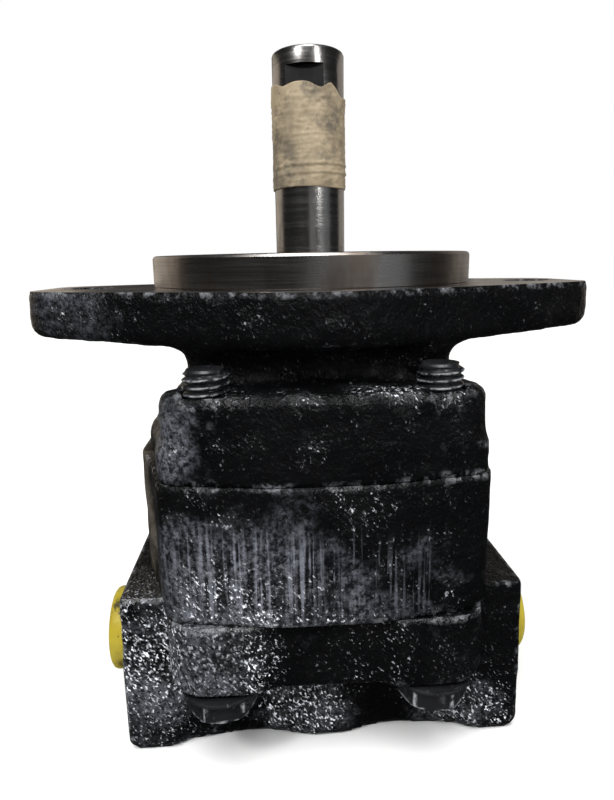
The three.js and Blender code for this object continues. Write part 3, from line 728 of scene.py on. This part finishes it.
def retaining_ring(steel):
    low, high, outer, inner = 147.6, 149.0, 20.9, 16.9
    angles = np.radians(np.linspace(-90 + 17, 270 - 17, 121))
    ring = []
    for a in angles:
        off = abs((math.degrees(a) - 90 + 180) % 360 - 180)
        lug = 1.6 * max(0.0, min(1.0, (off - 148) / 6))
        c, s = math.cos(a), math.sin(a)
        r0 = inner - lug
        for r, z in ((r0, low), (outer, low), (outer, high), (r0, high)):
            ring.append([r * c, r * s, z])
    faces = []
    for k in range(len(angles) - 1):
        for i in range(4):
            n = (i + 1) % 4
            faces.append([4 * k + i, 4 * k + n, 4 * k + 4 + n, 4 * k + 4 + i])
    last = 4 * (len(angles) - 1)
    faces += [[3, 2, 1, 0], [last, last + 1, last + 2, last + 3]]
    obj = new_object("retaining_ring_sprung", ring, faces, [steel], sharp=40)
    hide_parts("retaining_ring")
    return obj


# ---------------------------------------------------------------- materials
class Nodes:
    """A short way to write a material's node tree."""

    def __init__(self, name):
        self.material = bpy.data.materials.new(name)
        self.material.use_nodes = True
        self.tree = self.material.node_tree
        self.shader = self.tree.nodes["Principled BSDF"]
        self.coords = self.tree.nodes.new("ShaderNodeTexCoord").outputs["Object"]

    def set(self, name, value):
        socket = self.shader.inputs[name]
        if isinstance(value, bpy.types.NodeSocket):
            self.tree.links.new(value, socket)
        else:
            socket.default_value = value

    def node(self, kind, out=0, **inputs):
        """A node's output: i0, i1... are inputs by number, _name is a property, the rest inputs by name."""
        n = self.tree.nodes.new(kind)
        for key, value in inputs.items():
            if key.startswith("_"):
                setattr(n, key[1:], value)
                continue
            socket = n.inputs[int(key[1:])] if key[0] == "i" and key[1:].isdigit() else n.inputs[key]
            if isinstance(value, bpy.types.NodeSocket):
                self.tree.links.new(value, socket)
            else:
                socket.default_value = value
        return n.outputs[out]

    def place(self, scale=(1, 1, 1), turn=(0, 0, 0), at=(0, 0, 0)):
        return self.node("ShaderNodeMapping", Vector=self.coords, Scale=scale, Rotation=turn, Location=at)

    def noise(self, scale, detail=3.0, rough=0.55, vector=None, distortion=0.0):
        return self.node("ShaderNodeTexNoise", Vector=vector or self.coords, Scale=scale, Detail=detail,
                         Roughness=rough, Distortion=distortion)

    def voronoi(self, scale, vector=None):
        return self.node("ShaderNodeTexVoronoi", Vector=vector or self.coords, Scale=scale)

    def math(self, how, a, b, clamp=False):
        return self.node("ShaderNodeMath", _operation=how, _use_clamp=clamp, i0=a, i1=b)

    def times(self, a, b, clamp=False):
        return self.math("MULTIPLY", a, b, clamp)

    def plus(self, a, b):
        return self.math("ADD", a, b)

    def remap(self, value, low, high, to_low=0.0, to_high=1.0, smooth=True):
        limits = {"From Min": low, "From Max": high, "To Min": to_low, "To Max": to_high}
        kind = "SMOOTHSTEP" if smooth else "LINEAR"
        return self.node("ShaderNodeMapRange", _interpolation_type=kind, Value=value, **limits)

    def mix(self, factor, a, b):
        n = self.tree.nodes.new("ShaderNodeMix")
        n.data_type = "RGBA"
        for socket, value in ((n.inputs["Factor"], factor), (n.inputs[6], a), (n.inputs[7], b)):
            if isinstance(value, bpy.types.NodeSocket):
                self.tree.links.new(value, socket)
            else:
                socket.default_value = (*value, 1) if isinstance(value, tuple) and len(value) == 3 else value
        return n.outputs[2]

    def axis(self, which):
        return self.node("ShaderNodeSeparateXYZ", which, i0=self.coords)

    def attribute(self, name):
        return self.node("ShaderNodeAttribute", 2, _attribute_name=name)

    def blobs(self, spots):
        """Sum of soft round spots (x, y, z, radius, weight) in mm."""
        total = None
        for x, y, z, radius, weight in spots:
            centre = (x * MM, y * MM, z * MM)
            off = self.node("ShaderNodeVectorMath", 1, _operation="DISTANCE", i0=self.coords, i1=centre)
            spot = self.remap(off, radius * MM, radius * 0.35 * MM, 0, weight)
            total = spot if total is None else self.plus(total, spot)
        return total

    def bump(self, height, distance, strength=1.0, normal=None):
        inputs = dict(Height=height, Distance=distance, Strength=strength)
        if normal is not None:
            inputs["Normal"] = normal
        return self.node("ShaderNodeBump", **inputs)


def black_paint(name, dust_and_sheen, sparkle, dust_and_sheen_strength, brush=None):
    """Gloss black paint over cast iron: grainy skin, a dusty layer with painted sheen, painted glints and
    scuffed edges.

    Lists of (x, y, z, radius, weight) in mm give where the dusty layer and its painted sheen lie, where the
    painted glints gather and where upright tool marks show; a number gives the strength of the dusty layer."""
    m = Nodes(name)
    cast, edge = m.attribute("cast"), m.attribute("edge")
    broad = m.noise(60, 4.0, 0.6)
    fine = m.noise(700, 4.0, 0.7)
    patch = m.noise(75, 5.0, 0.7, distortion=0.5)
    base = m.mix(broad, (0.0008, 0.0008, 0.0009), (0.0032, 0.0034, 0.0038))

    # dusty layer with painted sheen: blue-grey, brown on the side walls as a painted reflection, broken up by
    # the grain below it; besides dusty spots, spots paint a highlight where rounded corners catch light and
    # fill light on the dim sides and back
    where = m.plus(m.blobs(dust_and_sheen), m.remap(patch, 0.40, 0.75, -0.35, 0.40, smooth=False))
    x = m.axis(0)
    # flank marks the side walls, where the brown tint is a painted reflection
    flank = m.math("MAXIMUM", m.remap(x, -0.0465, -0.0505), m.remap(x, 0.0465, 0.0505))
    flank = m.times(flank, m.remap(m.axis(1), -0.038, -0.034))
    flank = m.times(flank, m.remap(m.axis(2), 0.125, 0.120))
    grit = m.math("MAXIMUM", m.remap(fine, 0.38, 0.64, 0.08, 1.15), m.times(flank, 0.6))
    broken = m.times(m.remap(where, 0.10, 0.95), grit)
    broken = m.times(broken, dust_and_sheen_strength, clamp=True)
    dust_and_sheen_colour = m.mix(flank, (0.085, 0.090, 0.108), (0.120, 0.101, 0.076))
    base = m.mix(broken, base, dust_and_sheen_colour)

    # vertical tool marks that show through the paint: lighter streaks are a painted highlight on their ridges
    # and darker streaks painted shade in their grooves, with a matching bump
    if brush:
        comb = m.noise(1.0, 1.0, 0.5, m.place((1000, 1000, 22)))
        marked = m.times(m.blobs(brush), m.remap(m.noise(110, 3.0, 0.6), 0.35, 0.55, 0.35, 1.0))
        dark = m.times(m.remap(comb, 0.54, 0.45), marked, clamp=True)
        base = m.mix(m.times(dark, 0.9), base, (0.002, 0.002, 0.003))
        lit = m.times(m.remap(comb, 0.56, 0.68), marked, clamp=True)
        base = m.mix(m.times(lit, 0.45), base, (0.20, 0.21, 0.25))

    # painted glints: bright flecks painted into the colour along slanting grains, dense where the skin would
    # shine and a thin scatter elsewhere
    slant = m.node("ShaderNodeMapping", Vector=m.place(turn=(0, math.radians(35), 0)), Scale=(1.0, 0.9, 0.62))
    grain = m.noise(1350, 2.0, 0.6, slant)
    uneven = m.remap(m.noise(130, 4.0, 0.65), 0.32, 0.68, -0.45, 0.30, smooth=False)
    shine = m.plus(m.blobs(sparkle), uneven)
    limit = m.remap(shine, -0.2, 1.1, 0.66, 0.53, smooth=False)
    fleck = m.times(m.math("SUBTRACT", grain, limit), 9.0, clamp=True)
    fleck = m.times(fleck, m.remap(cast, 0.0, 0.7, 0.3, 1.0))
    bright = m.remap(m.noise(600, 2.0, 0.6), 0.36, 0.68, 0.06, 1.0)
    bright = m.times(bright, m.remap(shine, 0.0, 1.0, 0.04, 1.1, smooth=False), clamp=True)
    base = m.mix(fleck, base, m.mix(bright, (0.006, 0.006, 0.007), (0.90, 0.93, 1.0)))

    # rubbed edges
    rub = m.times(m.remap(edge, 0.16, 0.50), m.remap(m.noise(260, 4.0, 0.7), 0.48, 0.66))
    base = m.mix(m.times(rub, 0.45), base, (0.26, 0.27, 0.29))
    m.set("Base Color", base)
    rough = m.plus(m.times(broken, 0.35), m.remap(broad, 0.3, 0.7, 0.22, 0.36))
    m.set("Roughness", rough)
    m.set("Specular IOR Level", m.remap(m.plus(shine, broken), 0.0, 0.9, 0.07, 0.50, smooth=False))
    skin = m.plus(m.times(grain, 0.7), m.times(m.noise(480, 3.0, 0.6), 1.0))
    relief = m.bump(skin, 0.0010, 0.7)
    if brush:
        relief = m.bump(comb, 0.0004, 0.4, relief)
    m.set("Normal", relief)
    return m.material


def turned_steel(name, colour, rough, rings, tint=None):
    """Machined steel with fine tool marks round the shaft's axis, smears and small pits."""
    m = Nodes(name)
    marks = m.noise(1.0, 2.0, 0.6, m.place((40, 40, rings)))
    smear = m.noise(60, 4.0, 0.65, m.place((1.0, 1.0, 0.35)))
    pit = m.remap(m.voronoi(260), 0.06, 0.02)
    dark = tuple(c * 0.45 for c in colour)
    base = m.mix(m.remap(smear, 0.42, 0.66), colour, dark if tint is None else tint)
    base = m.mix(m.times(pit, 0.5), base, (0.02, 0.018, 0.016))
    m.set("Base Color", base)
    m.set("Metallic", 1.0)
    smeared = m.remap(smear, 0.3, 0.7, rough, rough + 0.12)
    m.set("Roughness", m.plus(smeared, m.remap(marks, 0.3, 0.7, 0, 0.08)))
    m.set("Normal", m.bump(marks, 0.00008, 0.35))
    return m.material


def masking_tape(name):
    m = Nodes(name)
    stain = m.noise(85, 4.0, 0.65, m.place((1, 1, 0.8), at=(0.02, 0, 0)))
    base = m.mix(m.remap(stain, 0.36, 0.66), (0.27, 0.215, 0.135), (0.135, 0.105, 0.066))
    smudge = m.times(m.remap(m.noise(130, 5.0, 0.7), 0.52, 0.66), 0.55)
    base = m.mix(smudge, base, (0.055, 0.045, 0.034))
    soiled = m.blobs([(7, -9.5, 192, 4.6, 1.0), (5, -10.5, 184, 5, 0.7), (0, -11.5, 202, 5, 0.9),
                      (-10, -6, 180, 12, 0.75), (8, 8, 188, 10, 0.6)])
    soiled = m.times(soiled, m.remap(m.noise(330, 4.0, 0.7), 0.36, 0.60), clamp=True)
    base = m.mix(m.times(soiled, 0.7), base, (0.045, 0.042, 0.038))
    fleck = m.remap(m.voronoi(420, m.place((1, 1, 0.7))), 0.12, 0.05)
    fleck = m.times(fleck, m.remap(m.noise(150, 2.0, 0.5), 0.5, 0.6))
    base = m.mix(m.times(fleck, 0.7), base, (0.05, 0.045, 0.04))
    m.set("Base Color", base)
    m.set("Roughness", m.remap(stain, 0.3, 0.7, 0.62, 0.82))
    crepe = m.noise(1.0, 3.0, 0.65, m.place((260, 260, 900)))
    m.set("Normal", m.bump(m.noise(420, 3.0, 0.6), 0.0003, 0.35, m.bump(crepe, 0.00025, 0.5)))
    return m.material


def plug_plastic(name):
    m = Nodes(name)
    cloud = m.noise(90, 3.0, 0.6)
    base = m.mix(m.remap(cloud, 0.3, 0.7), (0.27, 0.205, 0.010), (0.37, 0.30, 0.022))
    fleck = m.remap(m.voronoi(330), 0.16, 0.07)
    fleck = m.times(fleck, m.remap(m.noise(120, 2.0, 0.6), 0.50, 0.60))
    over = m.remap(m.noise(170, 4.0, 0.7), 0.58, 0.68)
    base = m.mix(m.times(over, 0.5), base, (0.12, 0.10, 0.01))
    base = m.mix(fleck, base, (0.01, 0.01, 0.008))
    smear = m.blobs([(-67, -18, 39, 6, 1.0), (67, -4, 15, 6, 0.8), (-66, -22, 20, 4, 0.7)])
    smear = m.times(smear, m.remap(m.noise(260, 4.0, 0.7), 0.40, 0.55), clamp=True)
    base = m.mix(m.times(smear, 0.9), base, (0.012, 0.012, 0.010))
    m.set("Base Color", base)
    m.set("Roughness", m.remap(cloud, 0.3, 0.7, 0.34, 0.5))
    m.set("Specular IOR Level", 0.3)
    m.set("Subsurface Weight", 0.08)
    m.set("Subsurface Radius", (0.002, 0.0015, 0.0005))
    m.set("Normal", m.bump(m.noise(300, 3.0, 0.6), 0.0002, 0.35))
    return m.material


def dark_rubber(name):
    m = Nodes(name)
    bloom = m.noise(140, 4.0, 0.6)
    m.set("Base Color", m.mix(bloom, (0.012, 0.012, 0.013), (0.03, 0.029, 0.028)))
    m.set("Roughness", m.remap(bloom, 0.3, 0.7, 0.55, 0.75))
    m.set("Normal", m.bump(m.noise(700, 2.0, 0.6), 0.0002, 0.3))
    return m.material


def black_oxide(name):
    """Painted-over screw steel: near black and oily, with lighter patches of wear and a painted highlight on
    the marked thread crests and hexagon corners.
    """
    m = Nodes(name)
    cloud = m.noise(120, 4.0, 0.65)
    base = m.mix(cloud, (0.002, 0.002, 0.0025), (0.014, 0.0145, 0.016))
    wear_and_edge_highlight = m.remap(m.noise(330, 4.0, 0.7), 0.58, 0.68)
    base = m.mix(m.times(wear_and_edge_highlight, 0.3), base, (0.12, 0.12, 0.125))
    # painted highlight on the marked corners and crests
    edge_highlight = m.times(m.attribute("edge"), m.remap(m.noise(420, 3.0, 0.6), 0.40, 0.62), clamp=True)
    base = m.mix(m.times(edge_highlight, 0.8), base, (0.32, 0.33, 0.35))
    m.set("Base Color", base)
    m.set("Roughness", m.remap(cloud, 0.3, 0.7, 0.2, 0.42))
    m.set("Specular IOR Level", 0.4)
    m.set("Normal", m.bump(m.noise(500, 3.0, 0.6), 0.0003, 0.4))
    return m.material


def bronze(name):
    m = Nodes(name)
    marks = m.noise(1.0, 2.0, 0.6, m.place((60, 60, 900)))
    m.set("Base Color", m.mix(m.noise(80, 3.0, 0.6), (0.42, 0.26, 0.10), (0.55, 0.37, 0.17)))
    m.set("Metallic", 1.0)
    m.set("Roughness", m.remap(marks, 0.3, 0.7, 0.28, 0.45))
    m.set("Normal", m.bump(marks, 0.0001, 0.3))
    return m.material


def floor_material(name):
    m = Nodes(name)
    m.set("Base Color", m.mix(m.noise(3.0, 4.0, 0.5), (0.80, 0.80, 0.80), (0.84, 0.84, 0.835)))
    m.set("Roughness", 0.9)
    return m.material


# ---------------------------------------------------------------- assembly
# In the spot lists, the spots on the sides and back paint fill light on faces the lamps leave dim
PAINT_PORT = black_paint(
    "black_paint_port_end",
    dust_and_sheen=[(-36, -56, 42, 25, 0.62), (-8, -38, 10, 24, 0.60), (-56, -39, 34, 34, 0.45),
          (-56, -39, 10, 26, 0.45), (44, -39, 10, 24, 0.55), (46, -52, 40, 18, 0.25),
          (-60, 40, 34, 60, 0.7), (60, 60, 30, 56, 0.7), (0, 104, 40, 50, 0.6)],
    sparkle=[(-57, -39, 44, 30, 1.0), (-56, -39, 18, 30, 0.75), (-33, -57, 42, 26, 1.5),
             (-8, -38, 12, 22, 1.2), (22, -54, 42, 36, 0.32), (44, -39, 8, 24, 0.85),
             (-30, 106, 40, 40, 0.7), (40, 105, 30, 40, 0.6),
             (0, 40, 0, 60, 0.3), (-63, 0, 26, 40, 0.5), (63, 0, 26, 40, 0.5)],
    dust_and_sheen_strength=0.75,
)
PAINT_GEAR = black_paint(
    "black_paint_gear_section",
    dust_and_sheen=[(-34, -56, 64, 32, 0.85), (-6, -58, 62, 28, 0.60), (22, -57, 60, 24, 0.30),
          (-14, -58, 88, 24, 0.30),
          (34, -54, 76, 22, 0.12), (-58, -10, 74, 44, 0.75), (-58, 60, 74, 60, 0.5), (0, 106, 72, 70, 0.5),
          (58, 0, 74, 44, 0.5), (58, 60, 70, 60, 0.5)],
    sparkle=[(-32, -56, 58, 20, 0.95), (-8, -58, 56, 20, 0.80), (8, -58, 92, 14, 0.45),
             (-36, -54, 88, 20, 0.25),
             (22, -57, 62, 22, 0.20), (20, 106, 60, 30, 0.6), (-58, 40, 62, 50, 0.35),
             (58, 40, 62, 50, 0.35)],
    dust_and_sheen_strength=0.9,
    brush=[(-32, -56, 68, 19, 0.9), (-14, -58, 68, 19, 0.95), (4, -58, 68, 17, 0.7), (20, -56, 66, 16, 0.3),
           (-20, 106, 70, 30, 0.6), (15, 106, 74, 30, 0.6)],
)
# The first spot of the dusty layer paints a highlight on the cover's rounded near-left corner; the glint
# spots at z 118.5 and 119 paint a highlight along the cover's top near edge
PAINT_FLANGE = black_paint(
    "black_paint_flange_end",
    dust_and_sheen=[(-47, -50, 105, 20, 1.10), (-70, -20, 137, 32, 0.50), (-4, -57, 106, 8, 0.35),
          (38, -54, 108, 14, 0.05),
          (-56, 10, 108, 46, 0.8), (58, 20, 106, 46, 0.7), (0, 60, 118, 50, 0.5), (-30, 104, 105, 44, 0.6),
          (0, 58, 136, 40, 0.5), (74, 10, 136, 22, 0.25)],
    sparkle=[(-44, -52, 104, 12, 0.35), (-5, -57, 103, 7, 0.60), (-70, -20, 134, 34, 0.16),
             (10, -50, 119, 10, 0.85),
             (20, -54, 118.5, 9, 0.80), (34, -54, 118.5, 8, 0.80), (-8, -54, 118.5, 10, 0.45),
             (-24, -54, 118.5, 9, 0.35), (30, 104, 108, 44, 0.5), (-50, 30, 112, 40, 0.35),
             (50, 30, 112, 40, 0.35),
             (0, 52, 136, 30, 0.4)],
    dust_and_sheen_strength=0.7,
)
MACHINED = turned_steel("machined_iron", (0.26, 0.245, 0.235), 0.20, 1600, (0.15, 0.125, 0.105))
SHAFT_STEEL = turned_steel("ground_shaft_steel", (0.34, 0.33, 0.32), 0.14, 1200)
# near-black copy of the shaft steel for the milled flat: painted shade
SHAFT_FLAT_PAINTED_SHADE = turned_steel("milled_steel_painted_shade", (0.035, 0.034, 0.034), 0.35, 500)
SCREW_STEEL = black_oxide("black_oxide_steel")
RUBBER = dark_rubber("seal_rubber")
TAPE = masking_tape("masking_tape")
PLASTIC = plug_plastic("yellow_plug_plastic")
BRONZE = bronze("bearing_bronze")

body_pieces = [
    (shaft_end_cover(PAINT_FLANGE, MACHINED), "black_paint"),
    (pilot_ring(MACHINED), "black_paint"),
    (gear_housing(PAINT_GEAR), "black_paint"),
    (port_end_cover(PAINT_PORT, MACHINED), "black_paint"),
    (lip_seal(RUBBER), "seal_rubber"),
    (retaining_ring(SCREW_STEEL), "screw_steel"),
]
for corner, place in SCREW_XY.items():
    body_pieces.append((cap_screw(corner, place, SCREW_TURN[corner], SCREW_STEEL), "screw_steel"))
    body_pieces.append((washer(corner, place, SCREW_STEEL), "screw_steel"))
for piece, slot in body_pieces:
    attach(piece, "pump_body")

for piece, body, slot in (
    (drive_shaft(SHAFT_STEEL, SHAFT_FLAT_PAINTED_SHADE), "drive_shaft", "ground_steel"),
    (shaft_tape(TAPE), "drive_shaft", "masking_tape"),
    (idler_shaft(SHAFT_STEEL), "idler_shaft", "ground_steel"),
    (port_plug(-1, PLASTIC), "left_plug", "plug_plastic"),
    (port_plug(1, PLASTIC), "right_plug", "plug_plastic"),
):
    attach(piece, body)

INNER = {"bushing": BRONZE, "thrust": BRONZE, "channel": RUBBER, "section": RUBBER, "dowel": SHAFT_STEEL}
for node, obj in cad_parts.items():
    finish = INNER.get(node.split("_")[0])
    if finish and not obj.hide_render:
        obj.data.materials.clear()
        obj.data.materials.append(finish)

# ---------------------------------------------------------------- floor, light and camera
floor = new_object("floor", [[-3000, -3000, 0], [3000, -3000, 0], [3000, 3000, 0], [-3000, 3000, 0]],
                   [[0, 1, 2, 3]], [floor_material("pale_floor")])
floor.location.z = -0.0002
floor.visible_glossy = False

scene = bpy.context.scene
scene.view_settings.view_transform = "Standard"
world = bpy.data.worlds.new("studio")
scene.world = world
world.use_nodes = True
studio = world.node_tree
studio.nodes.remove(studio.nodes["Background"])


def glow(colour, strength):
    """A background shader of the studio."""
    n = studio.nodes.new("ShaderNodeBackground")
    n.inputs["Color"].default_value = (*colour, 1)
    n.inputs["Strength"].default_value = strength
    return n.outputs[0]


def choose(ray, no, yes):
    """One background for rays of a kind and another for the rest."""
    n = studio.nodes.new("ShaderNodeMixShader")
    studio.links.new(rays.outputs[ray], n.inputs[0])
    studio.links.new(no, n.inputs[1])
    studio.links.new(yes, n.inputs[2])
    return n.outputs[0]


rays = studio.nodes.new("ShaderNodeLightPath")
room = choose("Is Glossy Ray", glow((1, 1, 1), 0.40), glow((0.95, 0.97, 1.0), 0.035))
room = choose("Is Camera Ray", room, glow((1, 1, 1), 1.0))
studio.links.new(room, studio.nodes["World Output"].inputs["Surface"])


def area_light(name, place, aim, size, power, colour=(1, 1, 1)):
    """A rectangle of light: place, aim and (width, height) in metres, power in watts."""
    data = bpy.data.lights.new(name, "AREA")
    data.shape = "RECTANGLE"
    data.size, data.size_y = size
    data.energy = power
    data.color = colour
    lamp = bpy.data.objects.new(name, data)
    lamp.location = place
    lamp.rotation_euler = (Vector(aim) - Vector(place)).to_track_quat("-Z", "Y").to_euler()
    scene.collection.objects.link(lamp)


sun = bpy.data.lights.new("key_overhead", "SUN")
sun.energy = 3.5
sun.angle = math.radians(40)
lamp = bpy.data.objects.new("key_overhead", sun)
lamp.rotation_euler = Vector((0.06, 0.36, -0.93)).to_track_quat("-Z", "Y").to_euler()
scene.collection.objects.link(lamp)
area_light("key_left", (-0.34, -0.46, 0.62), (-0.03, -0.04, 0.05), (0.09, 0.09), 2.6)
area_light("strip_right", (0.17, -0.32, 0.36), (0, 0, 0.20), (0.026, 0.28), 0.75)
area_light("panel_front", (0.06, -0.90, 0.20), (0, 0, 0.15), (0.30, 0.4), 0.10)
area_light("panel_right", (0.60, -0.55, 0.16), (0, 0, 0.15), (0.45, 0.4), 0.22, (0.9, 0.95, 1.0))
area_light("back_left", (-0.80, 0.75, 0.30), (0, 0, 0.1), (1.1, 0.8), 1.9, (1.0, 0.86, 0.70))
area_light("back_right", (0.80, 0.75, 0.30), (0, 0, 0.1), (1.1, 0.8), 1.2, (1.0, 0.9, 0.8))

CAMERA_AT = Vector((-0.013897, -0.208235, 0.150948))
PITCH, YAW, ROLL = 0.2216, -0.0570, -0.0175
FOCAL_PX, LONG_SIDE_PX, SENSOR_MM = 615.28, 800, 36
forward = Vector((-math.sin(YAW) * math.cos(PITCH), math.cos(YAW) * math.cos(PITCH), -math.sin(PITCH)))
right = Vector((math.cos(YAW), math.sin(YAW), 0))
up = right.cross(forward)
right_r = right * math.cos(ROLL) + up * math.sin(ROLL)
up_r = up * math.cos(ROLL) - right * math.sin(ROLL)
lens = bpy.data.cameras.new("camera")
lens.sensor_width = SENSOR_MM
lens.lens = SENSOR_MM * FOCAL_PX / LONG_SIDE_PX
lens.clip_start = 0.005
camera = bpy.data.objects.new("camera", lens)
turn = Matrix((right_r, up_r, -forward)).transposed()
camera.matrix_world = Matrix.Translation(CAMERA_AT) @ turn.to_4x4()
scene.collection.objects.link(camera)
scene.camera = camera
